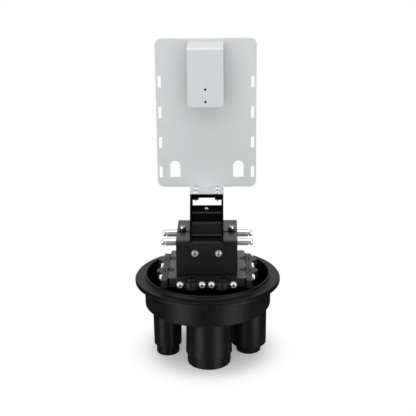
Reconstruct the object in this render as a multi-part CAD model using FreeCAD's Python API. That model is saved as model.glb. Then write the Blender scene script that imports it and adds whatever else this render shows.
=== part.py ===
import FreeCAD, Part
import os
from math import cos, radians, sin
from FreeCAD import Vector

# Dome splice closure base, in millimetres. +Z is up, the origin lies on the ground below the
# housing's axis, and -Y is the front, where the tray plate's hook and the steps face.

# Base housing: one moulded bowl with a sealing flange
skirtBottom = 85.0
skirtDraft = 0.5
skirtHeight = 39.0
bowlRadius = 96.5
skirtWall = 3.5
floorThickness = 4.0
lipReach = 15.0
lipThickness = 5.0
grooveHeight = 1.3
grooveDepth = 2.4
flangeThickness = 7.3
discInset = 1.3
coveWidth = 4.2
coveHeight = 2.2
rimHeight = 5.9
rimWall = 2.7
rimEdgeShare = 0.3
edgeRound = 2.0

# Screw posts in the bowl, which carry the clamp block
postX = 40.0
postY = 40.0
postRadius = 5.5
postBoreDepth = 20.0

# Ports: the four cable entries below the bowl
tubeWall = 4.5
tubeChamfer = 1.2
throatThickness = 4.0
nutWall = 4.0
nutGap = 0.3
nutChamfer = 1.0
ribHeight = 0.7
ribWidth = 2.4
ribTurn = 0.25
pressureRingHeight = 4.0
pressureRingClearance = 0.3
threadClearance = 0.08
plugClearance = 0.05
ports = [
    {"name": "front", "x": 2.0, "y": -40.0, "topRadius": 35.0, "endRadius": 36.6, "end": 17.5,
     "bore": 31.0, "grip": 34.4, "ribs": 18, "sleeve": 22.0, "plug": 28.0, "cable": 9.0,
     "cableX": (-14.0, 14.0)},
    {"name": "left", "x": -65.0, "y": -6.0, "topRadius": 23.0, "endRadius": 22.0, "end": 15.5,
     "bore": 16.5, "grip": 18.4, "ribs": 14, "sleeve": 18.0, "plug": 24.0, "cable": 7.0,
     "cableX": (0.0,)},
    {"name": "right", "x": 65.5, "y": 0.5, "topRadius": 28.8, "endRadius": 28.3, "end": 14.0,
     "bore": 17.5, "grip": 19.8, "ribs": 14, "sleeve": 16.0, "plug": 24.0, "cable": 8.0,
     "cableX": (0.0,)},
    {"name": "rear", "x": 0.0, "y": 52.0, "topRadius": 23.0, "endRadius": 22.0, "end": 15.5,
     "bore": 16.5, "grip": 18.4, "ribs": 14, "sleeve": 18.0, "plug": 24.0, "cable": 7.0,
     "cableX": (0.0,)},
]

# Clamp block with its saddle bars and cable rings
blockRise = 12.8
blockThickness = 14.2
blockHalf = 59.8
blockCorner = 5.0
ringEdge = 0.2
ringSpacing = 48.0
ringRadius = 8.2
ringHole = 3.3
ringLift = 0.2
ringGrooveRadius = 6.3
ringGrooveWidth = 1.4
ringGrooveDepth = 1.4
ringRecess = 0.8
ringRecessDepth = 4.0
barGap = 0.8
barThickness = 8.9
barHeight = 12.0
barDrop = 0.5
barHalf = 46.5
sideBarFront = 67.5
lobeRadius = 11.5
lobeReach = 9.0
lobeGrooveDepth = 1.8
lobeGrooveHeight = 1.4
lobeGrooveDrops = (0.7, 5.2)
lobeGrooveInset = 0.5
barRingClearance = 0.7
boltFromRing = 16.8
boltLift = 0.2
boltHoleClearance = 0.08
saddleBoltRadius = 2.0
saddleBoltLength = 22.0
saddleHeadRadius = 4.8
saddleHeadHeight = 3.6
saddleWasherRadius = 5.2
washerThickness = 1.0

# Bridge bracket, a sheet folded over the block
bracketWidth = 94.0
bracketDepth = 97.0
bracketHeight = 57.5
bracketSheet = 2.5
bracketFoot = 18.5
bracketBend = 0.8
blockScrewRadius = 2.5
blockScrewHead = 4.6
blockScrewHeadHeight = 3.5
blockScrewTipGap = 2.0

# Carrier under the bracket's top, with the posts for strength members
carrierSheet = 2.3
carrierInset = 1.5
carrierDepth = 60.0
carrierHeight = 24.0
rodDrop = 12.5
rodSpacing = 39.6
rodRadius = 5.8
rodLength = 19.0
spigotRadius = 3.0
spigotHead = 4.3
spigotHeadHeight = 2.0
clampScrewRadius = 1.7
clampScrewLength = 11.0
clampNeck = 1.5
clampNeckRadius = 3.2
clampHeadRadius = 5.4
clampHeadHeight = 5.0

# Tray channel, open at the front
channelWidth = 51.2
channelWall = 3.0
channelHeight = 62.9
channelBack = 20.0
channelTopDepth = 32.5
channelBackSheet = 2.0
channelReach = 10.0
channelHang = 11.5
windowBottom = 31.5
windowHeight = 15.3
bossWidth = 10.1
bossHeight = 7.4
earLength = 20.4
earBack = 6.0
earFront = -9.0
earThickness = 1.2
earBoltX = 38.0
earBoltY = -3.0
earBoltRadius = 2.5
earBoltLength = 11.0
earHeadRadius = 5.1
earHeadHeight = 5.0
earWasherRadius = 5.6
lugInner = 12.0
lugRadius = 6.7
lugScrewX = 18.2
lugScrewDrop = 19.9
lugScrewRadius = 2.1
lugScrewLength = 12.0
lugHeadRadius = 3.9
lugHeadHeight = 3.4
lugWasherRadius = 5.4

# Hinge steps, one folded sheet between the channel's walls
stepSheet = 1.2
stepBend = 0.3
stepSideGap = 0.3
strapHeight = 7.6
strapGap = 0.5
stepTopFace = -20.8
stepFaces = (-29.0, -36.0, -43.0)
stepTops = (38.7, 24.5, 7.3)
tabHeight = 13.1
dimpleShare = 0.62
tabDimple = 1.2
dimpleTip = 0.2
dimpleProud = 0.01
rivetRadius = 1.9
rivetHead = 2.7
rivetHeadHeight = 1.4
rivetDrop = 5.0

# Tray plate with its neck flange
plateWidth = 153.6
plateHeight = 233.0
plateSheet = 2.0
plateSink = 0.4
plateCorner = 10.5
neckWidth = 52.4
neckBend = 1.5
neckOverlap = 13.0
slotWidth = 5.0
slotLength = 18.0
slotCorner = 0.8
slotInset = 5.6
slotPitch = 47.6
slotFirst = 24.4
slotCount = 4
archWidth = 16.0
archHeight = 27.0
archX = 49.2
archBottom = 15.4
neckScrewX = 16.8
neckScrewFront = 4.0
neckScrewPitch = 20.4
neckScrewRadius = 1.9
neckScrewLength = 15.4
neckScrewTip = 5.0
neckScrewPoint = 0.3
neckHeadRadius = 4.5
neckHeadHeight = 2.5

# Hook over the tray stack, at the top of the plate
hookWidth = 53.3
hookSheet = 2.0
hookReach = 59.0
hookDrop = 87.6
hookBelowTop = 3.8
hookTab = 21.0
hookBend = 2.0
hookCorner = 4.5
hookHoleRadius = 1.8
hookHoles = (26.3, 7.8)
hookRivetX = 15.0
hookRivetRadius = 1.6
hookRivetHead = 3.0
hookRivetHeadHeight = 1.2

# Shares of a screw head's height and radius, and how far joined or cutting shapes run past a face
headRimShare = 0.4
headCrownShare = 0.55
past = 1.0

# Radii, heights and faces that follow from the sizes above
skirtRadius = bowlRadius + skirtWall
lipRadius = skirtRadius + lipReach
ringOffset = blockHalf + ringEdge
floorTop = skirtBottom + floorThickness
flangeBottom = skirtBottom + skirtHeight
flangeTop = flangeBottom + flangeThickness
rimTop = flangeTop + rimHeight
blockTop = rimTop + blockRise
blockBottom = blockTop - blockThickness
barTop = blockTop - barDrop
barBottom = barTop - barHeight
barInner = ringOffset + barGap
barOuter = barInner + barThickness
boltZ = barBottom + barHeight / 2 + boltLift
bracketTop = blockTop + bracketHeight
bracketFace = bracketDepth / 2
channelTop = bracketTop + channelHeight
channelHalf = channelWidth / 2
channelInner = channelHalf - channelWall
channelFront = -(bracketFace + channelReach)
channelTopFront = channelBack - channelTopDepth
neckTop = channelTop + plateSheet
plateTop = neckTop + plateHeight - plateSink
up = Vector(0, 0, 1)


def box(x0, x1, y0, y1, z0, z1):
    corner = Vector(x0, y0, z0)
    return Part.makeBox(x1 - x0, y1 - y0, z1 - z0, corner)


def disc(radius, z0, z1, x=0.0, y=0.0):
    return Part.makeCylinder(radius, z1 - z0, Vector(x, y, z0))


def rodAlong(radius, start, end):
    path = end - start
    return Part.makeCylinder(radius, path.Length, start, path)


def revolved(points, base=Vector(0, 0, 0), axis=up):
    # Turns a closed outline, given as radius and height, about an axis through base.
    corners = [Vector(r, 0, h) for r, h in points]
    face = Part.Face(Part.makePolygon(corners + [corners[0]]))
    solid = face.revolve(Vector(0, 0, 0), up, 360)
    solid.Placement = FreeCAD.Placement(base, FreeCAD.Rotation(up, axis))
    return solid


def extrudedX(points, x0, x1):
    # Extrudes a closed outline, given as y and z, along X.
    corners = [Vector(x0, y, z) for y, z in points]
    face = Part.Face(Part.makePolygon(corners + [corners[0]]))
    return face.extrude(Vector(x1 - x0, 0, 0))


def edgesAlongX(solid, places):
    found = []
    for edge in solid.Edges:
        ends = [v.Point for v in edge.Vertexes]
        if len(ends) != 2 or abs(ends[0].y - ends[1].y) > 1e-6 or abs(ends[0].z - ends[1].z) > 1e-6:
            continue
        if any(abs(ends[0].y - y) < 1e-4 and abs(ends[0].z - z) < 1e-4 for y, z in places):
            found.append(edge)
    return found


def foldedSheet(path, thickness, x0, x1, innerBend):
    # A sheet whose one face follows the path in y and z. The sheet lies to the left of the path,
    # and every fold is rounded on both faces.
    steps = [(b[0] - a[0], b[1] - a[1]) for a, b in zip(path, path[1:])]
    lengths = [(dy * dy + dz * dz) ** 0.5 for dy, dz in steps]
    normals = [(-dz / n, dy / n) for (dy, dz), n in zip(steps, lengths)]
    other = []
    inside = []
    outside = []
    for i, (y, z) in enumerate(path):
        before = normals[max(i - 1, 0)]
        after = normals[min(i, len(normals) - 1)]
        blend = 1 + before[0] * after[0] + before[1] * after[1]
        reach = thickness / blend
        mate = (y + reach * (before[0] + after[0]), z + reach * (before[1] + after[1]))
        other.append(mate)
        if 0 < i < len(path) - 1:
            turn = before[0] * after[1] - before[1] * after[0]
            inside.append(mate if turn > 0 else (y, z))
            outside.append((y, z) if turn > 0 else mate)
    solid = extrudedX(path + other[::-1], x0, x1)
    solid = solid.makeFillet(innerBend + thickness, edgesAlongX(solid, outside))
    return solid.makeFillet(innerBend, edgesAlongX(solid, inside))


def roundUprights(solid, radius):
    upright = [e for e in solid.Edges if len(e.Vertexes) == 2 and isUpright(e)]
    return solid.makeFillet(radius, upright)


def isUpright(edge):
    a, b = [v.Point for v in edge.Vertexes]
    return abs(a.x - b.x) < 1e-6 and abs(a.y - b.y) < 1e-6


def mirroredX(solid):
    return solid.mirror(Vector(0, 0, 0), Vector(1, 0, 0))


def turned(solid, angle):
    copy = solid.copy()
    copy.rotate(Vector(0, 0, 0), up, angle)
    return copy


def button(radius, height, base, axis):
    # A low screw head: a short rim under a sloping crown.
    rim = height * headRimShare
    crown = radius * headCrownShare
    return revolved([(0, 0), (radius, 0), (radius, rim), (crown, height), (0, height)], base, axis)


def washer(radius, hole, base, axis):
    top = washerThickness
    return revolved([(hole, 0), (radius, 0), (radius, top), (hole, top)], base, axis)


def screw(headRadius, headHeight, radius, length, base, axis):
    head = button(headRadius, headHeight, base, axis)
    shank = rodAlong(radius, base, base - axis * length)
    return head.fuse(shank)


def save(name, shape):
    shape.removeSplitter().exportStep(os.path.join("parts", name + ".step"))


# Base housing

def portHeights(port):
    # Heights of one gland, from the nut's grip up to the throat above the plug.
    sleeveTop = port["end"] + port["sleeve"]
    plugBottom = sleeveTop + pressureRingHeight
    plugTop = plugBottom + port["plug"]
    return sleeveTop, plugBottom, plugTop, plugTop + throatThickness


def openingRadius(port):
    return port["bore"] - threadClearance - nutWall


def bowlProfile():
    skirtTop = skirtRadius + skirtDraft
    lipTop = flangeBottom + lipThickness
    discBottom = lipTop + grooveHeight
    discRadius = lipRadius - discInset
    rimOuter = bowlRadius + rimWall
    rimEdge = rimWall * rimEdgeShare
    outline = [
        (0, skirtBottom),
        (skirtRadius - edgeRound, skirtBottom),
        (skirtRadius, skirtBottom + edgeRound),
        (skirtTop, flangeBottom),
        (lipRadius - edgeRound / 2, flangeBottom),
        (lipRadius, flangeBottom + edgeRound / 2),
        (lipRadius, lipTop),
        (lipRadius - grooveDepth, lipTop),
        (lipRadius - grooveDepth, discBottom),
        (discRadius, discBottom),
        (discRadius, flangeTop - edgeRound / 4),
        (discRadius - edgeRound / 4, flangeTop),
    ]
    # The cove is a quarter of an ellipse between the flange and the rim.
    for angle in (0, 30, 60, 90):
        across = coveWidth * (1 - sin(radians(angle)))
        rise = coveHeight * (1 - cos(radians(angle)))
        outline.append((rimOuter + across, flangeTop + rise))
    outline += [
        (rimOuter, rimTop - rimEdge),
        (rimOuter - rimEdge, rimTop),
        (bowlRadius + rimEdge, rimTop),
        (bowlRadius, rimTop - rimEdge),
        (bowlRadius, floorTop),
        (0, floorTop),
    ]
    return outline


def tube(port):
    outline = [
        (0, port["end"]),
        (port["endRadius"] - tubeChamfer, port["end"]),
        (port["endRadius"], port["end"] + tubeChamfer),
        (port["topRadius"], skirtBottom + floorThickness / 2),
        (0, skirtBottom + floorThickness / 2),
    ]
    return revolved(outline, Vector(port["x"], port["y"], 0))


def tubeBore(port):
    plugTop, throatTop = portHeights(port)[2:]
    chamber = port["topRadius"] - tubeWall
    place = (port["x"], port["y"])
    bore = disc(port["bore"], port["end"] - past, plugTop, *place)
    throat = disc(openingRadius(port), plugTop - past, throatTop + past, *place)
    return bore.multiFuse([throat, disc(chamber, throatTop, floorTop + past, *place)])


def baseHousing():
    body = revolved(bowlProfile())
    body = body.multiFuse([tube(port) for port in ports])
    places = [(sx * postX, sy * postY) for sx in (-1, 1) for sy in (-1, 1)]
    body = body.multiFuse([disc(postRadius, floorTop - past, blockBottom, x, y) for x, y in places])
    cuts = [tubeBore(port) for port in ports]
    tap = blockScrewRadius + boltHoleClearance
    cuts += [disc(tap, blockBottom - postBoreDepth, blockBottom + past, x, y) for x, y in places]
    return body.cut(Part.makeCompound(cuts))


# Cable glands

def glandNut(port):
    sleeveTop = portHeights(port)[0]
    gripTop = port["end"] - nutGap
    inner = openingRadius(port)
    sleeve = port["bore"] - threadClearance
    core = port["grip"] - ribHeight
    outline = [
        (inner, 0),
        (core - nutChamfer, 0),
        (core, nutChamfer),
        (core, gripTop),
        (sleeve, gripTop),
        (sleeve, sleeveTop),
        (inner, sleeveTop),
    ]
    base = Vector(port["x"], port["y"], 0)
    nut = revolved(outline, base)
    rib = box(core - ribHeight, port["grip"], -ribWidth / 2, ribWidth / 2, nutChamfer, gripTop)
    ribs = []
    for i in range(port["ribs"]):
        copy = turned(rib, 360.0 * (i + ribTurn) / port["ribs"])
        copy.translate(base)
        ribs.append(copy)
    return nut.multiFuse(ribs)


def pressureRing(port):
    sleeveTop, plugBottom = portHeights(port)[:2]
    inner = openingRadius(port)
    outer = port["bore"] - pressureRingClearance
    outline = [(inner, sleeveTop), (outer, sleeveTop), (outer, plugBottom), (inner, plugBottom)]
    return revolved(outline, Vector(port["x"], port["y"], 0))


def sealingPlug(port):
    plugBottom, plugTop = portHeights(port)[1:3]
    x, y = port["x"], port["y"]
    body = disc(port["bore"] - plugClearance, plugBottom, plugTop, x, y)
    holes = [disc(port["cable"], plugBottom - past, plugTop + past, x + dx, y) for dx in port["cableX"]]
    return body.cut(Part.makeCompound(holes))


# Clamp block. Each side is modelled as the front one and turned into place.

def ringPlaces():
    return [Vector(sx * ringSpacing / 2, -ringOffset, 0) for sx in (-1, 1)]


def boltXs():
    middle = ringSpacing / 2
    return [-middle - boltFromRing, -middle + boltFromRing, middle - boltFromRing, middle + boltFromRing]


def clampBlock():
    block = box(-blockHalf, blockHalf, -blockHalf, blockHalf, blockBottom, blockTop)
    block = roundUprights(block, blockCorner)
    cuts = []
    for angle in (0, 90, 180, 270):
        for place in ringPlaces():
            wide = ringRadius + ringRecess
            notch = disc(ringRadius, blockBottom - past, blockTop + past, place.x, place.y)
            recess = disc(wide, blockTop - ringRecessDepth, blockTop + past, place.x, place.y)
            cuts += [turned(notch, angle), turned(recess, angle)]
        for x in boltXs():
            start = Vector(x, -blockHalf - past, boltZ)
            end = Vector(x, -barOuter + saddleBoltLength + past, boltZ)
            cuts.append(turned(rodAlong(saddleBoltRadius + boltHoleClearance, start, end), angle))
    hole = blockScrewRadius + boltHoleClearance
    for sx in (-1, 1):
        for sy in (-1, 1):
            cuts.append(disc(hole, blockBottom - past, blockTop + past, sx * postX, sy * postY))
    return block.cut(Part.makeCompound(cuts))


def saddleBar(start, end):
    # Runs along X from start to end. The lobes keep clear of the block behind the bar.
    bar = box(start, end, -barOuter, -barInner, barBottom, barTop)
    lobes = []
    cuts = [box(start, end, -barInner, 0, barBottom - past, barTop + past)]
    lobeY = -(barOuter + lobeReach - lobeRadius)
    for place in ringPlaces():
        lobes.append(disc(lobeRadius, barBottom, barTop, place.x, lobeY))
        cuts.append(disc(ringRadius + barRingClearance, barBottom - past, barTop + past, place.x, place.y))
        for drop in lobeGrooveDrops:
            high = barTop - drop
            low = high - lobeGrooveHeight
            outer = disc(lobeRadius + past, low, high, place.x, lobeY)
            inner = disc(lobeRadius - lobeGrooveDepth, low, high, place.x, lobeY)
            front = box(start, end, lobeY - 2 * lobeRadius, -barOuter - lobeGrooveInset, low, high)
            cuts.append(outer.cut(inner).common(front))
    for x in boltXs():
        near = Vector(x, -barOuter - past, boltZ)
        far = Vector(x, -barInner + past, boltZ)
        cuts.append(rodAlong(saddleBoltRadius + boltHoleClearance, near, far))
    return bar.multiFuse(lobes).cut(Part.makeCompound(cuts))


def cableRing(place):
    top = blockTop + ringLift
    mid = ringGrooveRadius
    half = ringGrooveWidth / 2
    outline = [
        (ringHole, barBottom),
        (ringRadius, barBottom),
        (ringRadius, top),
        (mid + half, top),
        (mid, top - ringGrooveDepth),
        (mid - half, top),
        (ringHole, top),
    ]
    return revolved(outline, place)


def saddleBolts():
    out = Vector(0, -1, 0)
    bolts = []
    washers = []
    for x in boltXs():
        face = Vector(x, -barOuter, boltZ)
        washers.append(washer(saddleWasherRadius, saddleBoltRadius + boltHoleClearance, face, out))
        seat = face + out * washerThickness
        bolt = screw(saddleHeadRadius, saddleHeadHeight, saddleBoltRadius, saddleBoltLength, seat, out)
        bolts.append(bolt)
    return Part.makeCompound(bolts), Part.makeCompound(washers)


def blockScrews():
    seat = blockTop + bracketSheet
    length = seat - blockBottom + postBoreDepth - blockScrewTipGap
    screws = []
    for sx in (-1, 1):
        for sy in (-1, 1):
            place = Vector(sx * postX, sy * postY, seat)
            screws.append(screw(blockScrewHead, blockScrewHeadHeight, blockScrewRadius, length, place, up))
    return Part.makeCompound(screws)


# Bridge bracket and strength member posts

def bridgeBracket():
    foot = bracketFace - bracketFoot
    path = [
        (foot, blockTop),
        (bracketFace, blockTop),
        (bracketFace, bracketTop),
        (-bracketFace, bracketTop),
        (-bracketFace, blockTop),
        (-foot, blockTop),
    ]
    body = foldedSheet(path, bracketSheet, -bracketWidth / 2, bracketWidth / 2, bracketBend)
    footHole = blockScrewRadius + boltHoleClearance
    earHole = earBoltRadius + boltHoleClearance
    lugHole = lugScrewRadius + boltHoleClearance
    through = Vector(0, bracketSheet + 2 * past, 0)
    cuts = []
    for sx in (-1, 1):
        for sy in (-1, 1):
            cuts.append(disc(footHole, blockTop - past, blockTop + bracketSheet + past, sx * postX, sy * postY))
        cuts.append(disc(earHole, bracketTop - bracketSheet - past, bracketTop + past, sx * earBoltX, earBoltY))
        start = Vector(sx * lugScrewX, -bracketFace - past, bracketTop - lugScrewDrop)
        cuts.append(rodAlong(lugHole, start, start + through))
    return body.cut(Part.makeCompound(cuts))


def carrierHalf():
    return bracketWidth / 2 - carrierInset


def rodPlaces():
    z = bracketTop - rodDrop
    return [(sx, sy * rodSpacing / 2, z) for sx in (-1, 1) for sy in (-1, 1)]


def postCarrier():
    half = carrierHalf()
    top = bracketTop - bracketSheet
    path = [(half, top - carrierHeight), (half, top), (-half, top), (-half, top - carrierHeight)]
    body = foldedSheet(path, carrierSheet, -carrierDepth / 2, carrierDepth / 2, bracketBend)
    body.rotate(Vector(0, 0, 0), up, -90)
    cuts = []
    for sx, y, z in rodPlaces():
        start = Vector(sx * (half - carrierSheet - past), y, z)
        cuts.append(rodAlong(spigotRadius, start, start + Vector(sx * (carrierSheet + 2 * past), 0, 0)))
    for sx in (-1, 1):
        cuts.append(disc(earBoltRadius, top - carrierSheet - past, top + past, sx * earBoltX, earBoltY))
    return body.cut(Part.makeCompound(cuts))


def strengthPost(sx, y, z):
    face = carrierHalf()
    out = Vector(sx, 0, 0)
    seat = Vector(sx * face, y, z)
    inner = seat - out * carrierSheet
    rod = rodAlong(rodRadius, seat, seat + out * rodLength)
    spigot = rodAlong(spigotRadius, inner, seat)
    head = rodAlong(spigotHead, inner - out * spigotHeadHeight, inner)
    end = seat + out * rodLength
    tap = rodAlong(clampScrewRadius, end - out * (clampScrewLength + past), end + out * past)
    return rod.multiFuse([spigot, head]).cut(tap)


def clampScrew(sx, y, z):
    # The neck rests on the post's end and holds the head clear of it.
    out = Vector(sx, 0, 0)
    seat = Vector(sx * carrierHalf(), y, z) + out * rodLength
    face = seat + out * clampNeck
    head = button(clampHeadRadius, clampHeadHeight, face, out)
    neck = rodAlong(clampNeckRadius, seat, face)
    shank = rodAlong(clampScrewRadius - threadClearance, seat - out * clampScrewLength, seat)
    return head.multiFuse([neck, shank])


# Tray channel and its steps

def trayChannel():
    wallOutline = [
        (channelTopFront, channelTop),
        (channelBack, channelTop),
        (channelBack, bracketTop),
        (-bracketFace, bracketTop),
        (-bracketFace, bracketTop - channelHang),
        (channelFront, bracketTop - channelHang),
        (channelFront, bracketTop + stepSheet),
    ]
    topSheet = channelBackSheet
    wall = extrudedX(wallOutline, channelInner, channelHalf)
    earTop = bracketTop + earThickness
    ear = box(channelHalf - past, channelHalf + earLength, earFront, earBack, bracketTop, earTop)
    lugTop = bracketTop - stepSideGap
    lugZ = bracketTop - lugScrewDrop
    lugFront = -bracketFace - topSheet
    lug = box(lugInner, channelHalf, lugFront, -bracketFace, lugZ, lugTop)
    lugStart = Vector(lugScrewX, lugFront, lugZ)
    lugEnd = rodAlong(lugRadius, lugStart, Vector(lugScrewX, -bracketFace, lugZ))
    bossTop = channelTop - topSheet
    bossBottom = bossTop - bossHeight
    bossInner = channelInner - bossWidth
    boss = box(bossInner, channelInner, channelTopFront, channelBack, bossBottom, bossTop)
    side = wall.multiFuse([ear, lug, lugEnd, boss])
    half = channelInner + past
    backFace = channelBack - channelBackSheet
    windowLow = bracketTop + windowBottom
    windowHigh = windowLow + windowHeight
    top = box(-half, half, channelTopFront, channelBack, channelTop - topSheet, channelTop)
    upperBack = box(-half, half, backFace, channelBack, windowHigh, channelTop - past)
    lowerBack = box(-half, half, backFace, channelBack, bracketTop, windowLow)
    strapBack = stepTopFace + stepSheet + channelBackSheet
    strap = box(-half, half, stepTopFace + stepSheet, strapBack, strapLow(), strapLow() + strapHeight)
    body = side.multiFuse([mirroredX(side), top, upperBack, lowerBack, strap])
    earHole = earBoltRadius + boltHoleClearance
    lugHole = lugScrewRadius + boltHoleClearance
    through = Vector(0, topSheet + 2 * past, 0)
    cuts = []
    for sx in (-1, 1):
        cuts.append(disc(earHole, bracketTop - past, earTop + past, sx * earBoltX, earBoltY))
        start = Vector(sx * lugScrewX, lugFront - past, lugZ)
        cuts.append(rodAlong(lugHole, start, start + through))
    for x, y in neckScrewPlaces():
        cuts.append(disc(neckScrewRadius, bossBottom - past, channelTop + past, x, y))
    start = Vector(0, stepTopFace, rivetZ())
    cuts.append(rodAlong(rivetRadius, start, start + Vector(0, stepSheet + channelBackSheet + past, 0)))
    return body.cut(Part.makeCompound(cuts))


def strapLow():
    return bracketTop + stepTops[0] + strapGap


def rivetZ():
    return strapLow() + strapHeight - rivetDrop


def hingeSteps():
    path = [(stepTopFace, strapLow() + strapHeight), (stepTopFace, bracketTop + stepTops[0])]
    for i, face in enumerate(stepFaces):
        low = bracketTop + (stepTops[i + 1] if i + 1 < len(stepTops) else stepSheet)
        path += [(face, bracketTop + stepTops[i]), (face, low)]
    shelf = bracketTop + stepSheet
    path += [(channelFront, shelf), (channelFront, shelf - tabHeight)]
    half = channelInner - stepSideGap
    body = foldedSheet(path, stepSheet, -half, half, stepBend)
    start = Vector(0, stepTopFace - past, rivetZ())
    hole = rodAlong(rivetRadius, start, start + Vector(0, stepSheet + 2 * past, 0))
    tip = Vector(0, channelFront - dimpleProud, shelf - tabHeight * dimpleShare)
    dimple = Part.makeCone(tabDimple, dimpleTip, tabDimple, tip, Vector(0, 1, 0))
    return body.cut(hole).cut(dimple)


def strapRivet():
    front = Vector(0, stepTopFace, rivetZ())
    back = front + Vector(0, stepSheet + channelBackSheet, 0)
    head = button(rivetHead, rivetHeadHeight, front, Vector(0, -1, 0))
    tail = button(rivetHead, rivetHeadHeight, back, Vector(0, 1, 0))
    return head.multiFuse([tail, rodAlong(rivetRadius, front, back)])


def earBolts():
    seat = bracketTop + earThickness
    bolts = []
    washers = []
    for sx in (-1, 1):
        face = Vector(sx * earBoltX, earBoltY, seat)
        washers.append(washer(earWasherRadius, earBoltRadius + boltHoleClearance, face, up))
        place = face + up * washerThickness
        bolts.append(screw(earHeadRadius, earHeadHeight, earBoltRadius, earBoltLength, place, up))
    return Part.makeCompound(bolts), Part.makeCompound(washers)


def lugScrews():
    out = Vector(0, -1, 0)
    screws = []
    washers = []
    for sx in (-1, 1):
        face = Vector(sx * lugScrewX, -bracketFace - channelBackSheet, bracketTop - lugScrewDrop)
        washers.append(washer(lugWasherRadius, lugScrewRadius + boltHoleClearance, face, out))
        seat = face + out * washerThickness
        screws.append(screw(lugHeadRadius, lugHeadHeight, lugScrewRadius, lugScrewLength, seat, out))
    return Part.makeCompound(screws), Part.makeCompound(washers)


# Tray plate and hook

def neckScrewPlaces():
    front = channelTopFront + neckScrewFront
    return [(sx * neckScrewX, y) for sx in (-1, 1) for y in (front, front + neckScrewPitch)]


def edgesAlongY(solid):
    found = []
    for edge in solid.Edges:
        ends = [v.Point for v in edge.Vertexes]
        if len(ends) == 2 and abs(ends[0].y - ends[1].y) > plateSheet / 2:
            found.append(edge)
    return found


def slot(x, z):
    halfWidth = slotWidth / 2
    halfLength = slotLength / 2
    y0 = channelBack - past
    y1 = channelBack + plateSheet + past
    opening = box(x - halfWidth, x + halfWidth, y0, y1, z - halfLength, z + halfLength)
    return opening.makeFillet(slotCorner, edgesAlongY(opening))


def arch(x):
    bottom = neckTop + archBottom
    spring = bottom + archHeight - archWidth / 2
    y0 = channelBack - past
    y1 = channelBack + plateSheet + past
    crown = rodAlong(archWidth / 2, Vector(x, y0, spring), Vector(x, y1, spring))
    return box(x - archWidth / 2, x + archWidth / 2, y0, y1, bottom, spring).fuse(crown)


def trayPlate():
    half = plateWidth / 2
    bottom = plateTop - plateHeight
    sheet = box(-half, half, channelBack, channelBack + plateSheet, bottom, plateTop)
    sheet = sheet.makeFillet(plateCorner, edgesAlongY(sheet))
    path = [(channelBack, neckTop + neckOverlap), (channelBack, neckTop), (channelTopFront, neckTop)]
    neck = foldedSheet(path, plateSheet, -neckWidth / 2, neckWidth / 2, neckBend)
    y0 = channelBack - past
    y1 = channelBack + plateSheet + past
    relief = box(-neckWidth / 2, neckWidth / 2, y0, y1, bottom - past, neckTop + neckOverlap)
    body = sheet.cut(relief).fuse(neck)
    cuts = []
    for row in range(slotCount):
        z = bottom + slotFirst + row * slotPitch
        cuts += [slot(sx * (half - slotInset), z) for sx in (-1, 1)]
    cuts += [arch(sx * archX) for sx in (-1, 1)]
    for x, y in neckScrewPlaces():
        cuts.append(disc(neckScrewRadius + boltHoleClearance, channelTop - past, neckTop + past, x, y))
    for x, z in hookRivetPlaces():
        start = Vector(x, channelBack - past, z)
        cuts.append(rodAlong(hookRivetRadius, start, start + Vector(0, plateSheet + 2 * past, 0)))
    return body.cut(Part.makeCompound(cuts))


def neckScrews():
    screws = []
    for x, y in neckScrewPlaces():
        seat = Vector(x, y, neckTop)
        shank = neckScrewLength - neckScrewTip
        body = screw(neckHeadRadius, neckHeadHeight, neckScrewRadius, shank, seat, up)
        tip = Part.makeCone(neckScrewRadius, neckScrewPoint, neckScrewTip, seat - up * shank, -up)
        screws.append(body.fuse(tip))
    return Part.makeCompound(screws)


def hookTop():
    return plateTop - hookBelowTop


def hookRivetPlaces():
    return [(sx * hookRivetX, hookTop() - hookTab / 2 - hookSheet) for sx in (-1, 1)]


def trayHook():
    front = channelBack - hookReach
    bottom = hookTop() - hookDrop
    top = hookTop()
    path = [(channelBack, top - hookTab), (channelBack, top), (front, top), (front, bottom)]
    half = hookWidth / 2
    body = foldedSheet(path, hookSheet, -half, half, hookBend)
    corners = []
    for edge in body.Edges:
        ends = [v.Point for v in edge.Vertexes]
        low = len(ends) == 2 and all(abs(p.z - bottom) < 1e-4 for p in ends)
        if low and abs(ends[0].x - ends[1].x) < 1e-6:
            corners.append(edge)
    body = body.makeFillet(hookCorner, corners)
    cuts = []
    for rise in hookHoles:
        start = Vector(0, front - past, bottom + rise)
        cuts.append(rodAlong(hookHoleRadius, start, start + Vector(0, hookSheet + 2 * past, 0)))
    for x, z in hookRivetPlaces():
        start = Vector(x, channelBack - hookSheet - past, z)
        cuts.append(rodAlong(hookRivetRadius, start, start + Vector(0, hookSheet + 2 * past, 0)))
    return body.cut(Part.makeCompound(cuts))


def hookRivets():
    rivets = []
    for x, z in hookRivetPlaces():
        front = Vector(x, channelBack - hookSheet, z)
        back = Vector(x, channelBack + plateSheet, z)
        head = button(hookRivetHead, hookRivetHeadHeight, front, Vector(0, -1, 0))
        tail = button(hookRivetHead, hookRivetHeadHeight, back, Vector(0, 1, 0))
        rivets.append(head.multiFuse([tail, rodAlong(hookRivetRadius, front, back)]))
    return Part.makeCompound(rivets)


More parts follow.
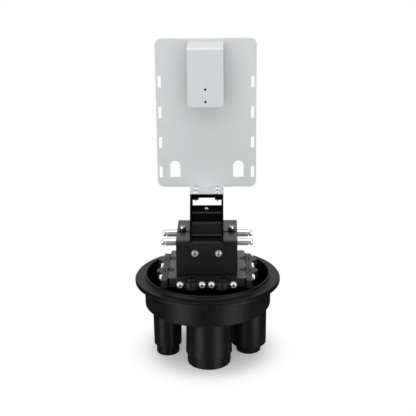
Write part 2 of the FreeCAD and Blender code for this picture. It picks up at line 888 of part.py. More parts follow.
def main():
    os.makedirs("parts", exist_ok=True)
    save("base_housing", baseHousing())
    for port in ports:
        save(port["name"] + "_gland_nut", glandNut(port))
        save(port["name"] + "_pressure_ring", pressureRing(port))
        save(port["name"] + "_sealing_plug", sealingPlug(port))
    save("clamp_block", clampBlock())
    save("block_screws", blockScrews())
    bolts, washers = saddleBolts()
    # The two side bars run on past the block's front corners.
    sides = [
        ("front", 0, -barHalf, barHalf),
        ("right", 90, -sideBarFront, barHalf),
        ("rear", 180, -barHalf, barHalf),
        ("left", 270, -barHalf, sideBarFront),
    ]
    for side, angle, start, end in sides:
        save(side + "_saddle_bar", turned(saddleBar(start, end), angle))
        save(side + "_saddle_bolts", turned(bolts, angle))
        save(side + "_saddle_washers", turned(washers, angle))
        for number, place in enumerate(ringPlaces(), 1):
            save(side + "_cable_ring_" + str(number), turned(cableRing(place), angle))
    save("bridge_bracket", bridgeBracket())
    save("post_carrier", postCarrier())
    rodNames = ("left_front", "left_rear", "right_front", "right_rear")
    for name, place in zip(rodNames, rodPlaces()):
        save(name + "_strength_post", strengthPost(*place))
        save(name + "_clamp_screw", clampScrew(*place))
    save("tray_channel", trayChannel())
    save("hinge_steps", hingeSteps())
    save("strap_rivet", strapRivet())
    bolts, washers = earBolts()
    save("ear_bolts", bolts)
    save("ear_washers", washers)
    screws, washers = lugScrews()
    save("lug_screws", screws)
    save("lug_washers", washers)
    save("tray_plate", trayPlate())
    save("neck_screws", neckScrews())
    save("tray_hook", trayHook())
    save("hook_rivets", hookRivets())


main()
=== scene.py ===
import math
import bmesh
import bpy
from mathutils import Matrix, Vector


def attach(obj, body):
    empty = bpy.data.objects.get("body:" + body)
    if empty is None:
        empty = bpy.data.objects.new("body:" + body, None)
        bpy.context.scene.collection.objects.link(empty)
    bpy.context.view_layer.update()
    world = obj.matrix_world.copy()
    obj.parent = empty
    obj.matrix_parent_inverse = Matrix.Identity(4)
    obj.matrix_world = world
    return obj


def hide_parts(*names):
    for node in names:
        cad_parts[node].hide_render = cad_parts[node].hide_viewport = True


# Lengths are in metres, z is up, and the object's front looks towards -y.
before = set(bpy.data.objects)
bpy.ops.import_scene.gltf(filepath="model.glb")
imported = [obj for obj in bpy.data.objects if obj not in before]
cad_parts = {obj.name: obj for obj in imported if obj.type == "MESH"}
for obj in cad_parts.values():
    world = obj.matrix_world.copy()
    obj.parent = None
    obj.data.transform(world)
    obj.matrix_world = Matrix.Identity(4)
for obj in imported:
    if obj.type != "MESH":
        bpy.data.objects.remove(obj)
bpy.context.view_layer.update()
scene = bpy.context.scene
sides = ("front", "right", "rear", "left")
ports = ("front", "left", "right", "rear")
corners = ("left_front", "left_rear", "right_front", "right_rear")
print("stage: frame loaded")

# Camera at the photograph's angle
viewpoint = {
    "place": (0.0305, -1.5416, 0.7685),
    "aim": (0.00167, 0.0, 0.2436),
    "lens": 90.4,
    "sensor": 36,
    "clipEnd": 50,
    "roll": -0.54,  # degrees
}


def makeCamera():
    data = bpy.data.cameras.new("photoCamera")
    data.sensor_width = viewpoint["sensor"]
    data.lens = viewpoint["lens"]
    data.clip_end = viewpoint["clipEnd"]
    camera = bpy.data.objects.new("photoCamera", data)
    scene.collection.objects.link(camera)
    place = Vector(viewpoint["place"])
    look = (Vector(viewpoint["aim"]) - place).to_track_quat("-Z", "Y").to_matrix().to_4x4()
    roll = Matrix.Rotation(math.radians(viewpoint["roll"]), 4, "Z")
    camera.matrix_world = Matrix.Translation(place) @ look @ roll
    scene.camera = camera


makeCamera()


# Shader maths: a wrapped socket that takes Python's operators
class Socket:
    def __init__(self, shader, out):
        self.shader = shader
        self.out = out

    def __add__(self, other):
        return self.shader.math("ADD", self, other)

    def __sub__(self, other):
        return self.shader.math("SUBTRACT", self, other)

    def __rsub__(self, other):
        return self.shader.math("SUBTRACT", other, self)

    def __mul__(self, other):
        return self.shader.math("MULTIPLY", self, other)

    __radd__ = __add__
    __rmul__ = __mul__


class Shader:
    def __init__(self, name, tree=None, output="ShaderNodeOutputMaterial"):
        if tree is None:
            self.material = bpy.data.materials.new(name)
            self.material.use_nodes = True
            tree = self.material.node_tree
        self.tree = tree
        self.tree.nodes.clear()
        self.output = self.tree.nodes.new(output)

    def node(self, kind, settings, inputs, out=0):
        made = self.tree.nodes.new(kind)
        for key, value in settings.items():
            setattr(made, key, value)
        for key, value in inputs.items():
            if isinstance(value, Socket):
                self.tree.links.new(value.out, made.inputs[key])
            elif isinstance(value, tuple) and len(made.inputs[key].default_value) == 4:
                made.inputs[key].default_value = (*value, 1)
            else:
                made.inputs[key].default_value = value
        return Socket(self, made.outputs[out])

    def math(self, operation, a, b=0.0):
        return self.node("ShaderNodeMath", {"operation": operation}, {0: a, 1: b})

    def blend(self, factor, a, b):
        return self.node("ShaderNodeMix", {"data_type": "RGBA"}, {0: factor, 6: a, 7: b}, 2)

    def place(self):
        return self.node("ShaderNodeTexCoord", {}, {}, "Object")

    def noise(self, scale, detail, rough, stretch=None):
        where = self.place()
        if stretch:
            where = self.node("ShaderNodeMapping", {}, {"Vector": where, "Scale": stretch})
        inputs = {"Vector": where, "Scale": scale, "Detail": detail, "Roughness": rough}
        return self.node("ShaderNodeTexNoise", {}, inputs)

    def ramp(self, value, low, high, curve="LINEAR"):
        inputs = {"Value": value, "From Min": low, "From Max": high}
        return self.node("ShaderNodeMapRange", {"interpolation_type": curve}, inputs)

    def surface(self, height, bump, **inputs):
        strength, distance = bump
        bumped = {"Height": height, "Strength": strength, "Distance": distance}
        inputs["Normal"] = self.node("ShaderNodeBump", {}, bumped)
        values = {key.replace("_", " "): value for key, value in inputs.items()}
        shown = self.node("ShaderNodeBsdfPrincipled", {}, values)
        self.tree.links.new(shown.out, self.output.inputs["Surface"])
        return self.material


# Finishes: the darkest and the most worn colour, roughness and the grain's scale. Level is how
# strongly the surface shines, metal how metallic it is and speckle how dusty.
noiseMiddle = 0.5  # what a noise swings about
finishes = {
    "moulded": {"dark": (0.0052, 0.0052, 0.0055), "worn": (0.0085, 0.0085, 0.0088), "rough": 0.40,
                "grain": 2600, "level": 0.15},
    # A duller, hardly shining copy of moulded: painted shade inside the bowl and in the cable rings' holes
    # and grooves.
    "paintedRecessShade": {"dark": (0.006, 0.006, 0.0063), "worn": (0.010, 0.010, 0.0104), "rough": 0.8,
                   "grain": 2600, "level": 0.02},
    "satin": {"dark": (0.010, 0.010, 0.0104), "worn": (0.016, 0.016, 0.0166), "rough": 0.36,
              "grain": 2200, "level": 0.98},
    "barSatin": {"dark": (0.005, 0.005, 0.0053), "worn": (0.009, 0.009, 0.0094), "rough": 0.40,
                 "grain": 2400, "level": 0.42},
    "rubber": {"dark": (0.012, 0.012, 0.0125), "worn": (0.02, 0.02, 0.021), "rough": 0.72,
               "grain": 1800, "level": 0.3},
    "coated": {"dark": (0.0040, 0.0040, 0.0042), "worn": (0.0078, 0.0078, 0.0081), "rough": 0.35,
               "grain": 1500, "level": 0.52, "speckle": 0.0},
    # A near-black coat: the hook's black pins, and painted shade on the steps' risers and the channel's
    # edges.
    "blackAndPaintedShade": {"dark": (0.0012, 0.0012, 0.0013), "worn": (0.0022, 0.0022, 0.0023), "rough": 0.60,
               "grain": 1500, "level": 0.03, "speckle": 0.0},
    "pale": {"dark": (0.69, 0.695, 0.70), "worn": (0.725, 0.73, 0.735), "rough": 0.5,
             "grain": 1300, "level": 0.4, "speckle": 0.4},
    "zinc": {"dark": (0.70, 0.70, 0.70), "worn": (0.86, 0.86, 0.85), "rough": 0.15,
             "grain": 900, "metal": 0.55},
    "plated": {"dark": (0.62, 0.62, 0.62), "worn": (0.80, 0.80, 0.79), "rough": 0.16,
               "grain": 900, "metal": 1.0},
    "dullZinc": {"dark": (0.30, 0.30, 0.30), "worn": (0.42, 0.42, 0.415), "rough": 0.3,
                 "grain": 900, "metal": 1.0},
    "darkPlated": {"dark": (0.05, 0.05, 0.052), "worn": (0.09, 0.09, 0.092), "rough": 0.30,
                   "grain": 900, "metal": 1.0},
    # A dark metal: painted shade in the screws' driver recesses and on the ear bolts' head sides.
    "recess": {"dark": (0.03, 0.03, 0.03), "worn": (0.06, 0.06, 0.06), "rough": 0.5,
               "grain": 900, "metal": 0.6},
}

# Moulded plastic. A noise is written as scale, detail, roughness and stretch, without the scale
# where it comes from the finish's grain. A bump is written as strength and height, and a shift is
# how far a pattern moves the roughness.
plastic = {
    "grain": (3.0, 0.6),
    "flow": (14.0, 3.0, 0.55, (1.0, 1.0, 0.35)),
    "rubbed": (60.0, 4.0, 0.6),
    "rubbedFrom": 0.56,
    "rubbedTo": 0.78,
    "rubbedColour": 0.6,
    "flowColour": 0.25,
    "flowShift": 0.10,
    "rubbedShift": 0.05,
    "grainShift": 0.06,
    "bump": (0.18, 0.00012),
}


def mouldedFinish(name):
    # A fine eroded grain, soft flow marks and a few rubbed spots.
    values = finishes[name]
    shader = Shader(name)
    grain = shader.noise(values["grain"], *plastic["grain"])
    flow = shader.noise(*plastic["flow"])
    rubbed = shader.ramp(shader.noise(*plastic["rubbed"]), plastic["rubbedFrom"], plastic["rubbedTo"])
    worn = rubbed * plastic["rubbedColour"] + flow * plastic["flowColour"]
    rough = values["rough"] + (flow - noiseMiddle) * plastic["flowShift"]
    rough = rough - rubbed * plastic["rubbedShift"] + (grain - noiseMiddle) * plastic["grainShift"]
    colour = shader.blend(worn, values["dark"], values["worn"])
    return shader.surface(grain, plastic["bump"], Base_Color=colour, Roughness=rough,
                          Specular_IOR_Level=values["level"])


# Powder coat, written as plastic is
powder = {
    "peel": (2.0, 0.5),
    "coarseScale": 0.35,
    "coarseShare": 0.7,
    "peelMiddle": 0.85,
    "cloud": (9.0, 2.0, 0.5),
    "dustScale": 1.6,
    "dustFrom": 0.60,
    "dustTo": 0.75,
    "cloudColour": 0.6,
    "cloudShift": 0.08,
    "peelShift": 0.08,
    "bump": (0.22, 0.00016),
}


def coatedFinish(name):
    # Orange peel in two sizes, faint handling marks and specks of dust.
    values = finishes[name]
    shader = Shader(name)
    coarse = shader.noise(values["grain"] * powder["coarseScale"], *powder["peel"])
    peel = shader.noise(values["grain"], *powder["peel"]) + coarse * powder["coarseShare"]
    cloud = shader.noise(*powder["cloud"])
    specks = shader.noise(values["grain"] * powder["dustScale"], *powder["peel"])
    dust = shader.ramp(specks, powder["dustFrom"], powder["dustTo"])
    worn = cloud * powder["cloudColour"] + dust * values["speckle"]
    rough = values["rough"] + (cloud - noiseMiddle) * powder["cloudShift"]
    rough = rough + (peel - powder["peelMiddle"]) * powder["peelShift"]
    colour = shader.blend(worn, values["dark"], values["worn"])
    return shader.surface(peel, powder["bump"], Base_Color=colour, Roughness=rough,
                          Specular_IOR_Level=values["level"])


# Plating, written as plastic is
plating = {
    "lines": (2.0, 0.5, (1.0, 1.0, 6.0)),
    "patch": (220.0, 3.0, 0.6),
    "patchFrom": 0.3,
    "patchTo": 0.65,
    "linesShift": 0.12,
    "patchShift": 0.10,
    "bump": (0.10, 0.00005),
}


def platedFinish(name):
    # Fine turned scratches and slightly duller patches.
    values = finishes[name]
    shader = Shader(name)
    lines = shader.noise(values["grain"], *plating["lines"])
    patch = shader.noise(*plating["patch"])
    worn = shader.ramp(patch, plating["patchFrom"], plating["patchTo"])
    rough = values["rough"] + (lines - noiseMiddle) * plating["linesShift"]
    rough = rough + (patch - noiseMiddle) * plating["patchShift"]
    colour = shader.blend(worn, values["dark"], values["worn"])
    return shader.surface(lines, plating["bump"], Base_Color=colour, Roughness=rough,
                          Metallic=values["metal"])


moulded = mouldedFinish("moulded")
paintedRecessShade = mouldedFinish("paintedRecessShade")
satin = mouldedFinish("satin")
barSatin = mouldedFinish("barSatin")
coated = coatedFinish("coated")
blackAndPaintedShade = coatedFinish("blackAndPaintedShade")
pale = coatedFinish("pale")
zinc = platedFinish("zinc")
plated = platedFinish("plated")
dullZinc = platedFinish("dullZinc")
darkPlated = platedFinish("darkPlated")
recess = platedFinish("recess")
rubber = mouldedFinish("rubber")
print("stage: finishes made")


# Pieces
limits = {
    "sharp": 32,  # degrees, past which an edge is hard
    "flat": 0.5,  # degrees, under which faces are one
    "together": 0.000002,  # corners nearer than this are one
    "segments": 2,  # of an eased edge
}


def finishPiece(bm, name, body, finish, nodes=(), sharp=limits["sharp"]):
    bmesh.ops.recalc_face_normals(bm, faces=bm.faces)
    mesh = bpy.data.meshes.new(name)
    bm.to_mesh(mesh)
    bm.free()
    mesh.shade_smooth()
    mesh.set_sharp_from_angle(angle=math.radians(sharp))
    for layer in finish if isinstance(finish, tuple) else (finish,):
        mesh.materials.append(layer)
    piece = bpy.data.objects.new(name, mesh)
    scene.collection.objects.link(piece)
    weighted = piece.modifiers.new("evenShading", "WEIGHTED_NORMAL")
    weighted.keep_sharp = True
    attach(piece, body)
    if nodes:
        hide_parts(*nodes)


def easeEdges(bm, offset):
    hard = [e for e in bm.edges if e.is_manifold and e.calc_face_angle(0) > math.radians(limits["sharp"])]
    if hard:
        bmesh.ops.bevel(bm, geom=hard, offset=offset, offset_type="OFFSET", segments=limits["segments"],
                        profile=0.5, affect="EDGES", clamp_overlap=True, material=-1, miter_outer="ARC")


def eased(node, name, body, finish, offset, second=None):
    # The solid's own shape, merged, with its hard edges eased. Faces whose corners second picks
    # take the second finish.
    bm = bmesh.new()
    bm.from_mesh(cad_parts[node].data)
    bmesh.ops.remove_doubles(bm, verts=bm.verts, dist=limits["together"])
    bmesh.ops.dissolve_limit(bm, angle_limit=math.radians(limits["flat"]), verts=bm.verts, edges=bm.edges)
    easeEdges(bm, offset)
    if second:
        for face in bm.faces:
            face.material_index = 1 if all(second(v.co) for v in face.verts) else 0
    finishPiece(bm, name, body, finish, [node])


def raiseOutlines(bm, outlines, layers):
    # A face on the first outline is extruded through the others. Each new wall takes the finish
    # that its layer counts. Returns the face at either end.
    base = bm.faces.new([bm.verts.new(spot) for spot in outlines[0]])
    top = base
    for outline, layer in zip(outlines[1:], layers):
        made = bmesh.ops.extrude_face_region(bm, geom=[top])["geom"]
        if top != base:
            bmesh.ops.delete(bm, geom=[top], context="FACES_ONLY")
        top = next(part for part in made if isinstance(part, bmesh.types.BMFace))
        for corner, spot in zip(top.verts, outline):
            corner.co = spot
        for edge in top.edges:
            for wall in edge.link_faces:
                wall.material_index = layer
    return base, top


def keepNode(node, finish):
    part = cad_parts[node]
    part.data.materials.clear()
    part.data.materials.append(finish)


def quarterTurns():
    return [(side, Matrix.Rotation(math.radians(90 * number), 3, "Z")) for number, side in enumerate(sides)]


# Housing and clamp mouldings. An ease is the width of the rounding along hard edges.
housing = {
    "ease": 0.0004,
    "nutEase": 0.0003,
    "blockEase": 0.0005,
    "ringEase": 0.0003,
    "bowlRadius": 0.0968,
    "bowlLow": 0.0885,
    "bowlHigh": 0.1368,
    "ringAcross": 0.060,  # a cable ring's place, out from the axis and along the block's side
    "ringAlong": 0.024,
    "ringHole": 0.0037,
    "ringGroove": (0.0054, 0.0074),
}


# Faces inside the bowl, which take painted shade.
def insideBowl(spot):
    low, high = housing["bowlLow"], housing["bowlHigh"]
    return math.hypot(spot.x, spot.y) < housing["bowlRadius"] and low < spot.z < high


def inRing(spot):
    # The hole and the groove of a cable ring, at any side of the block, which take painted shade.
    across, along = max(abs(spot.x), abs(spot.y)), min(abs(spot.x), abs(spot.y))
    reach = math.hypot(across - housing["ringAcross"], along - housing["ringAlong"])
    low, high = housing["ringGroove"]
    return reach < housing["ringHole"] or low < reach < high


# Saddle bars: the outline seen from above is raised in layers, because each lobe has two grooves
# across its front.
bars = {
    "ends": {"front": (-0.0465, 0.0465), "right": (-0.0675, 0.0465), "rear": (-0.0465, 0.0465),
             "left": (-0.0465, 0.0675)},
    "inner": 0.0608,  # faces towards and away from the axis
    "outer": 0.0697,
    "bottom": 0.1375,
    "top": 0.1495,
    "ringX": 0.024,  # the notches round the cable rings, and the lobes in front of them
    "ringY": 0.060,
    "ringRadius": 0.0089,
    "lobeY": 0.0672,
    "lobeRadius": 0.0115,
    "grooveRadius": 0.0097,
    "grooveInset": 0.0005,  # from the outer face to the grooves' ends
    "grooves": ((0.1429, 0.1443), (0.1474, 0.1488)),
    "steps": 40,  # of each arc
    "ease": 0.0002,
}


def archPoints(middle, grooved):
    # The front of a lobe, from its right end to its left. In a groove the arch steps in.
    radius, low = bars["lobeRadius"], bars["grooveRadius"]
    rise = bars["outer"] - bars["lobeY"]
    stepRise = rise + bars["grooveInset"]
    first, second = math.asin(rise / radius), math.asin(stepRise / radius)
    reach, begin = (low, math.asin(stepRise / low)) if grooved else (radius, second)
    turns = [begin + (math.pi - 2 * begin) * k / bars["steps"] for k in range(bars["steps"] + 1)]
    polar = [(radius, first), (radius, second)] + [(reach, turn) for turn in turns]
    polar += [(radius, math.pi - second), (radius, math.pi - first)]
    return [(middle + r * math.cos(turn), -bars["lobeY"] - r * math.sin(turn)) for r, turn in polar]


def barOutline(side, grooved):
    start, end = bars["ends"][side]
    inner, outer, radius = bars["inner"], bars["outer"], bars["ringRadius"]
    gap = math.asin((inner - bars["ringY"]) / radius)
    points = [(start, -inner)]
    for middle in (-bars["ringX"], bars["ringX"]):
        for k in range(bars["steps"] + 1):
            turn = math.pi + gap + (math.pi - 2 * gap) * k / bars["steps"]
            points.append((middle + radius * math.cos(turn), -bars["ringY"] + radius * math.sin(turn)))
    points += [(end, -inner), (end, -outer)]
    for middle in (bars["ringX"], -bars["ringX"]):
        points += archPoints(middle, grooved)
    return points + [(start, -outer)]


def makeBar(side, turn):
    levels = [(bars["bottom"], False)]
    for low, high in bars["grooves"]:
        levels += [(low, False), (low, True), (high, True), (high, False)]
    levels.append((bars["top"], False))
    outlines = [[turn @ Vector((x, y, height)) for x, y in barOutline(side, grooved)]
                for height, grooved in levels]
    bm = bmesh.new()
    raiseOutlines(bm, outlines, [0] * len(levels))
    bmesh.ops.remove_doubles(bm, verts=bm.verts, dist=limits["together"])
    bmesh.ops.recalc_face_normals(bm, faces=bm.faces)
    easeEdges(bm, bars["ease"])
    name = side + "SaddleBar"
    finishPiece(bm, name, side + "_clamp", barSatin, [side + "_saddle_bar"])


def makeMouldings():
    # The bowl's inside and the cable rings' holes and grooves take a duller, hardly shining copy of the
    # moulded finish: painted shade.
    eased("base_housing", "housing", "base", (moulded, paintedRecessShade), housing["ease"],
          insideBowl)
    for port in ports:
        eased(port + "_gland_nut", port + "GlandNut", port + "_nut", moulded, housing["nutEase"])
        keepNode(port + "_pressure_ring", satin)
        keepNode(port + "_sealing_plug", rubber)
    eased("clamp_block", "clampBlock", "base", satin, housing["blockEase"])
    for side, turn in quarterTurns():
        makeBar(side, turn)
        for number in ("1", "2"):
            name = side + "_cable_ring_" + number
            # The ring's hole and groove take the duller copy as painted shade.
            eased(name, side + "CableRing" + number, "base", (satin, paintedRecessShade),
                  housing["ringEase"], inRing)


makeMouldings()
print("stage: mouldings made")

# Folded sheets
sheets = {
    "ease": 0.0004,
    "plateEase": 0.0005,
    "wallEase": 0.00015,
    # The channel's front edges above wallLow, and all of it above wallHigh, stand in shadow and take the
    # near-black finish as painted shade.
    "wallLow": 0.20865,
    "wallHigh": 0.2125,
    "wallFront": -0.0135,
    # dark pins that fill the hook's two holes
    "pinRadius": 0.00178,
    "pinMiddle": -0.0381,
    "pinDepth": 0.0014,
    "pinHeights": (0.4214, 0.4399),
    "pinSteps": 32,
    # the steps' upright faces that stand in shadow, which take the near-black finish as painted shade: from
    # one height to the next, in front of a depth
    "risers": ((0.2088, 0.2134, -0.0428), (0.2322, 0.2448, -0.0288), (0.2462, 0.2545, -0.0206)),
}


def onRiser(spot):
    return any(low < spot.z < high and spot.y < depth for low, high, depth in sheets["risers"])


def onWallEdge(spot):
    inFront = spot.z > sheets["wallLow"] and spot.y < sheets["wallFront"]
    return inFront or spot.z > sheets["wallHigh"]


def makeSheets():
    eased("bridge_bracket", "bridgeBracket", "base", coated, sheets["ease"])
    eased("post_carrier", "postCarrier", "base", coated, sheets["ease"])
    # The channel's front edges and the steps' risers that stand in shadow take the near-black finish as
    # painted shade.
    eased("tray_channel", "trayChannel", "base", (coated, blackAndPaintedShade), sheets["wallEase"],
          onWallEdge)
    eased("hinge_steps", "hingeSteps", "base", (coated, blackAndPaintedShade), sheets["ease"], onRiser)
    eased("tray_plate", "trayPlate", "base", pale, sheets["plateEase"])
    eased("tray_hook", "trayHook", "base", pale, sheets["plateEase"])


def makePins():
    bm = bmesh.new()
    lying = Matrix.Rotation(math.radians(90), 4, "X")
    for height in sheets["pinHeights"]:
        place = Matrix.Translation((0.0, sheets["pinMiddle"], height)) @ lying
        bmesh.ops.create_cone(bm, cap_ends=True, segments=sheets["pinSteps"], radius1=sheets["pinRadius"],
                              radius2=sheets["pinRadius"], depth=sheets["pinDepth"], matrix=place)
    finishPiece(bm, "hookPins", "base", blackAndPaintedShade)


makeSheets()
makePins()
print("stage: sheets made")

# Screws, bolts and posts. Each kind has its head, its driver's recess and its shank.
bolts = {
    "saddle": {"radius": 0.0048, "height": 0.0036, "crown": 0.0026, "hex": 0.0019, "depth": 0.0017,
               "shank": 0.002, "length": 0.022},
    # The ear bolt's listed head rings take the dark recess finish: painted shade on the head's sides.
    "ear": {"radius": 0.0051, "height": 0.0050, "crown": 0.0032, "hex": 0.0023, "depth": 0.0022,
            "shank": 0.0025, "length": 0.011, "paintedShadeRings": (5, 6, 7)},  # counted down from the crown
    "lug": {"radius": 0.0039, "height": 0.0034, "crown": 0.0028, "arm": 0.0023, "blade": 0.0005,
            "depth": 0.0013, "shank": 0.0021, "length": 0.012},
    "neck": {"radius": 0.0045, "height": 0.0025, "crown": 0.0030, "arm": 0.0025, "blade": 0.0006,
             "depth": 0.0013, "shank": 0.0019, "length": 0.0154, "tip": 0.005, "point": 0.0003},
    "block": {"radius": 0.0046, "height": 0.0035, "crown": 0.0030, "hex": 0.0022, "depth": 0.0017,
              "shank": 0.0025, "length": 0.0347},
    "clamp": {"radius": 0.0054, "height": 0.0050, "crown": 0.0034, "hex": 0.0022, "depth": 0.0018,
              "shank": 0.00162, "length": 0.0125, "neck": 0.0015, "neckRadius": 0.0032},
    "steps": 32,  # around a screw
    "edge": 0.0002,
    "rimShare": 0.36,  # the upright part of a head's height
    "crownTurns": (20, 40, 60, 78),  # degrees, from the rim up to the flat crown
    "sharp": 40,
}


def recessOutline(values):
    # A hexagon, or a cross of four arms.
    if "hex" in values:
        turns = [math.radians(60 * k) for k in range(6)]
        return [(values["hex"] * math.cos(turn), values["hex"] * math.sin(turn)) for turn in turns]
    arm, half = values["arm"], values["blade"]
    quarter = [(arm, -half), (arm, half), (half, half)]
    points = []
    for u, v in ((1, 0), (0, 1), (-1, 0), (0, -1)):
        points += [(x * u - y * v, x * v + y * u) for x, y in quarter]
    return points


def screwRings(values):
    # Radius and height of the rings, from the shank's tip to the flat crown.
    edge, rim = bolts["edge"], values["height"] * bolts["rimShare"]
    shank, length = values["shank"], values["length"]
    rings = [(values.get("point", shank - edge), -length), (shank, values.get("tip", edge) - length)]
    if "neck" in values:
        neck, wide = values["neck"], values["neckRadius"]
        rings += [(shank, -neck), (wide, -neck), (wide, 0)]
    else:
        rings.append((shank, 0))
    rings += [(values["radius"] - edge, 0), (values["radius"], edge), (values["radius"], rim)]
    for turn in bolts["crownTurns"]:
        reach = values["crown"] + (values["radius"] - values["crown"]) * math.cos(math.radians(turn))
        rings.append((reach, rim + (values["height"] - rim) * math.sin(math.radians(turn))))
    return rings + [(values["crown"], values["height"])]


def addScrew(bm, kind, base, axis):
    # Base is the middle of the head's seat, and axis points out of the head.
    values = bolts[kind]
    turn = Vector(axis).to_track_quat("Z", "Y").to_matrix()
    angles = [2 * math.pi * k / bolts["steps"] for k in range(bolts["steps"])]

    def placed(points, height):
        return [Vector(base) + turn @ Vector((u, v, height)) for u, v in points]

    def circle(radius, height):
        return placed([(radius * math.cos(angle), radius * math.sin(angle)) for angle in angles], height)

    rings = [circle(radius, height) for radius, height in screwRings(values)]
    # Listed head rings and the driver's recess take the second, dark finish: painted shade.
    dark = values.get("paintedShadeRings", ())
    fromCrown = range(len(rings) - 1, 0, -1)
    crown = raiseOutlines(bm, rings, [int(number in dark) for number in fromCrown])[1]
    outline = recessOutline(values)
    heights = (values["height"], values["height"] - values["depth"])
    lid = raiseOutlines(bm, [placed(outline, height) for height in heights], [1])[0]
    border = list(crown.edges) + list(lid.edges)
    bmesh.ops.delete(bm, geom=[crown, lid], context="FACES_ONLY")
    bmesh.ops.triangle_fill(bm, use_beauty=True, use_dissolve=False, edges=border)


def screws(node, name, body, kind, places, axis, finish):
    bm = bmesh.new()
    for place in places:
        addScrew(bm, kind, place, axis)
    finishPiece(bm, name, body, (finish, recess), [node], bolts["sharp"])


# Where the heads' seats are
fastened = {
    "saddleXs": (-0.0408, -0.0072, 0.0072, 0.0408),
    "saddleY": -0.0707,
    "saddleZ": 0.1437,
    "ear": (0.038, -0.003, 0.2097),
    "lug": (0.0182, -0.0515, 0.1876),
    "neckX": 0.0168,
    "neckYs": (-0.0085, 0.0119),
    "neckZ": 0.2724,
    "block": (0.040, 0.040, 0.1525),
    "clamp": (0.066, 0.0198, 0.195),
    "washerEase": 0.00015,
    "postEase": 0.0004,
    "rivetEase": 0.0002,
}


def bothSides(place):
    x, y, z = place
    return [(-x, y, z), (x, y, z)]


def makeSaddleBolts():
    for side, turn in quarterTurns():
        seats = [turn @ Vector((x, fastened["saddleY"], fastened["saddleZ"])) for x in fastened["saddleXs"]]
        out = turn @ Vector((0, -1, 0))
        screws(side + "_saddle_bolts", side + "SaddleBolts", side + "_clamp", "saddle", seats, out, zinc)
        eased(side + "_saddle_washers", side + "SaddleWashers", side + "_clamp", zinc,
              fastened["washerEase"])


def makePosts():
    x, y, z = fastened["clamp"]
    for corner in corners:
        out = -1 if corner.startswith("left") else 1
        along = -1 if corner.endswith("front") else 1
        eased(corner + "_strength_post", corner + "Post", "base", zinc, fastened["postEase"])
        screws(corner + "_clamp_screw", corner + "ClampScrew", corner + "_screw", "clamp",
               [(out * x, along * y, z)], (out, 0, 0), zinc)


def makeScrews():
    up, forward = (0, 0, 1), (0, -1, 0)
    screws("ear_bolts", "earBolts", "base", "ear", bothSides(fastened["ear"]), up, plated)
    eased("ear_washers", "earWashers", "base", darkPlated, fastened["washerEase"])
    screws("lug_screws", "lugScrews", "base", "lug", bothSides(fastened["lug"]), forward, zinc)
    eased("lug_washers", "lugWashers", "base", zinc, fastened["washerEase"])
    necks = []
    for y in fastened["neckYs"]:
        necks += bothSides((fastened["neckX"], y, fastened["neckZ"]))
    screws("neck_screws", "neckScrews", "base", "neck", necks, up, zinc)
    x, y, z = fastened["block"]
    seats = bothSides((x, -y, z)) + bothSides((x, y, z))
    screws("block_screws", "blockScrews", "base", "block", seats, up, zinc)
    eased("strap_rivet", "strapRivet", "base", dullZinc, fastened["rivetEase"])
    keepNode("hook_rivets", plated)


makeSaddleBolts()
makePosts()
makeScrews()
print("stage: fasteners made")

# Floor, world and lamps
studio = {
    "floorSize": 14.0,
    "floorSeen": (0.95, 0.95, 0.95),  # what the camera sees near the object, so that its shadow shows
    "floorGlow": 0.21,
    "farFrom": 0.07,  # beyond this radius the floor fades to plain white
    "farTo": 0.145,
    "floorBounce": (0.35, 0.35, 0.35),  # what lights the object from below
    "floorShine": (0.75, 0.75, 0.75),  # what gloss sees in front of the object
    "shineRough": 0.05,
    "floorBehind": 0.05,  # what gloss sees behind it
    "behindFrom": -0.10,
    "behindTo": 0.05,
    "worldFill": 0.14,
    "fillBehind": 0.50,  # what the room behind the object adds, for the back of the plate
    "fillFrom": -0.1,
    "fillTo": 0.5,
    "backLevel": 0.82,  # what gloss sees of the room behind the object and in front of it
    "frontLevel": 0.03,
    "backFrom": 0.1,
    "backTo": 0.6,
    "topLevel": 2.6,
    "topFrom": 0.74,
    "topTo": 0.94,
    "topBack": 0.35,  # the top light ends here, behind the object
    "boxes": (
        # azimuth from the camera's direction, half width in degrees, strength
        (-46.0, 27.0, 6.3),
        (47.0, 27.0, 6.3),
    ),
    "boxSoft": 20.0,
    "boxTop": 0.62,  # above this the boxes fade out, over boxFade
    "boxFade": 0.2,
    "lamps": (
        # name, place, size, power. Gloss doesn't show them.
        ("topBox", (-0.1, -0.35, 1.9), 1.0, 14.0),
        ("frontFill", (0.0, -2.1, 0.75), 2.6, 43.5),
    ),
    "lampAim": (0.0, 0.0, 0.2),
    "white": (1.0, 1.0, 1.0),
}


def rayShares(shader):
    camera = shader.node("ShaderNodeLightPath", {}, {}, "Is Camera Ray")
    glossy = shader.node("ShaderNodeLightPath", {}, {}, "Is Glossy Ray")
    clear = shader.node("ShaderNodeLightPath", {}, {}, "Is Transmission Ray")
    return camera, glossy, clear


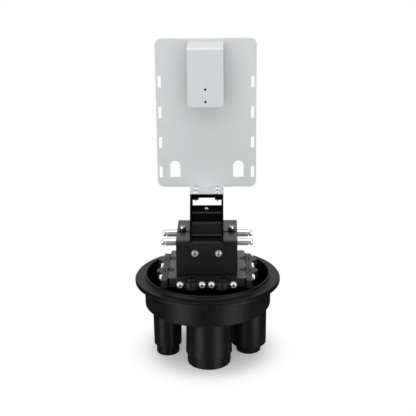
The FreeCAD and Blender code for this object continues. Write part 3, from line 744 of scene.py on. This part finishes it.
def makeFloor():
    bm = bmesh.new()
    bmesh.ops.create_grid(bm, x_segments=1, y_segments=1, size=studio["floorSize"])
    mesh = bpy.data.meshes.new("floor")
    bm.to_mesh(mesh)
    bm.free()
    floor = bpy.data.objects.new("floor", mesh)
    scene.collection.objects.link(floor)
    shader = Shader("paleFloor")
    white = shader.node("ShaderNodeEmission", {}, {"Color": studio["white"], "Strength": 1.0})
    lit = shader.node("ShaderNodeBsdfDiffuse", {}, {"Color": studio["floorSeen"]})
    glow = shader.node("ShaderNodeEmission", {}, {"Color": studio["white"], "Strength": studio["floorGlow"]})
    near = shader.node("ShaderNodeAddShader", {}, {0: lit, 1: glow})
    bounce = shader.node("ShaderNodeBsdfDiffuse", {}, {"Color": studio["floorBounce"]})
    mirror = {"Color": studio["floorShine"], "Roughness": studio["shineRough"]}
    shine = shader.node("ShaderNodeBsdfGlossy", {}, mirror)
    spot = shader.place()
    depth = shader.node("ShaderNodeSeparateXYZ", {}, {"Vector": spot}, "Y")
    radius = shader.node("ShaderNodeVectorMath", {"operation": "LENGTH"}, {0: spot}, "Value")
    far = shader.ramp(radius, studio["farFrom"], studio["farTo"], "SMOOTHSTEP")
    behind = shader.ramp(depth, studio["behindFrom"], studio["behindTo"])
    camera, glossy, clear = rayShares(shader)
    seen = shader.node("ShaderNodeMixShader", {}, {0: far, 1: near, 2: white})
    faint = {"Color": studio["white"], "Strength": studio["floorBehind"]}
    dull = shader.node("ShaderNodeEmission", {}, faint)
    mirrored = shader.node("ShaderNodeMixShader", {}, {0: behind, 1: shine, 2: dull})
    other = shader.node("ShaderNodeMixShader", {}, {0: glossy + clear, 1: bounce, 2: mirrored})
    mixed = shader.node("ShaderNodeMixShader", {}, {0: camera, 1: other, 2: seen})
    shader.tree.links.new(mixed.out, shader.output.inputs["Surface"])
    mesh.materials.append(shader.material)


def makeWorld():
    # The camera sees plain white. Gloss sees a pale room behind the object, a dark one in front,
    # two tall soft boxes at its sides and a light overhead.
    world = bpy.data.worlds.new("studioWorld")
    world.use_nodes = True
    shader = Shader("studioRoom", world.node_tree, "ShaderNodeOutputWorld")
    way = shader.node("ShaderNodeTexCoord", {}, {}, "Generated")
    across = shader.node("ShaderNodeSeparateXYZ", {}, {"Vector": way}, "X")
    depth = shader.node("ShaderNodeSeparateXYZ", {}, {"Vector": way}, "Y")
    rise = shader.node("ShaderNodeSeparateXYZ", {}, {"Vector": way}, "Z")
    turn = shader.math("ARCTAN2", across, depth * -1.0) * math.degrees(1.0)
    below = shader.ramp(rise, studio["boxTop"], studio["boxTop"] - studio["boxFade"])
    paler = studio["backLevel"] - studio["frontLevel"]
    level = shader.ramp(depth, studio["backFrom"], studio["backTo"]) * paler + studio["frontLevel"]
    above = shader.ramp(rise, studio["topFrom"], studio["topTo"]) * shader.ramp(depth, studio["topBack"], 0.0)
    level = level + above * studio["topLevel"]
    for azimuth, half, strength in studio["boxes"]:
        offset = shader.math("ABSOLUTE", turn - azimuth)
        level = level + shader.ramp(offset, half, half - studio["boxSoft"]) * below * strength
    camera, glossy, clear = rayShares(shader)
    toBack = shader.ramp(depth, studio["fillFrom"], studio["fillTo"])
    around = toBack * studio["fillBehind"] + studio["worldFill"]
    fill = shader.node("ShaderNodeBackground", {}, {"Color": studio["white"], "Strength": around})
    room = shader.node("ShaderNodeBackground", {}, {"Color": studio["white"], "Strength": level})
    white = shader.node("ShaderNodeBackground", {}, {"Color": studio["white"], "Strength": 1.0})
    other = shader.node("ShaderNodeMixShader", {}, {0: glossy + clear, 1: fill, 2: room})
    shown = shader.node("ShaderNodeMixShader", {}, {0: camera, 1: other, 2: white})
    shader.tree.links.new(shown.out, shader.output.inputs["Surface"])
    scene.world = world


def makeLamps():
    aim = Vector(studio["lampAim"])
    for name, place, size, power in studio["lamps"]:
        data = bpy.data.lights.new(name, "AREA")
        data.size = size
        data.energy = power
        lamp = bpy.data.objects.new(name, data)
        scene.collection.objects.link(lamp)
        lamp.location = place
        lamp.rotation_euler = (aim - Vector(place)).to_track_quat("-Z", "Y").to_euler()
        lamp.visible_glossy = False


makeFloor()
makeWorld()
makeLamps()
scene.view_settings.view_transform = "Standard"
print("stage: studio made")
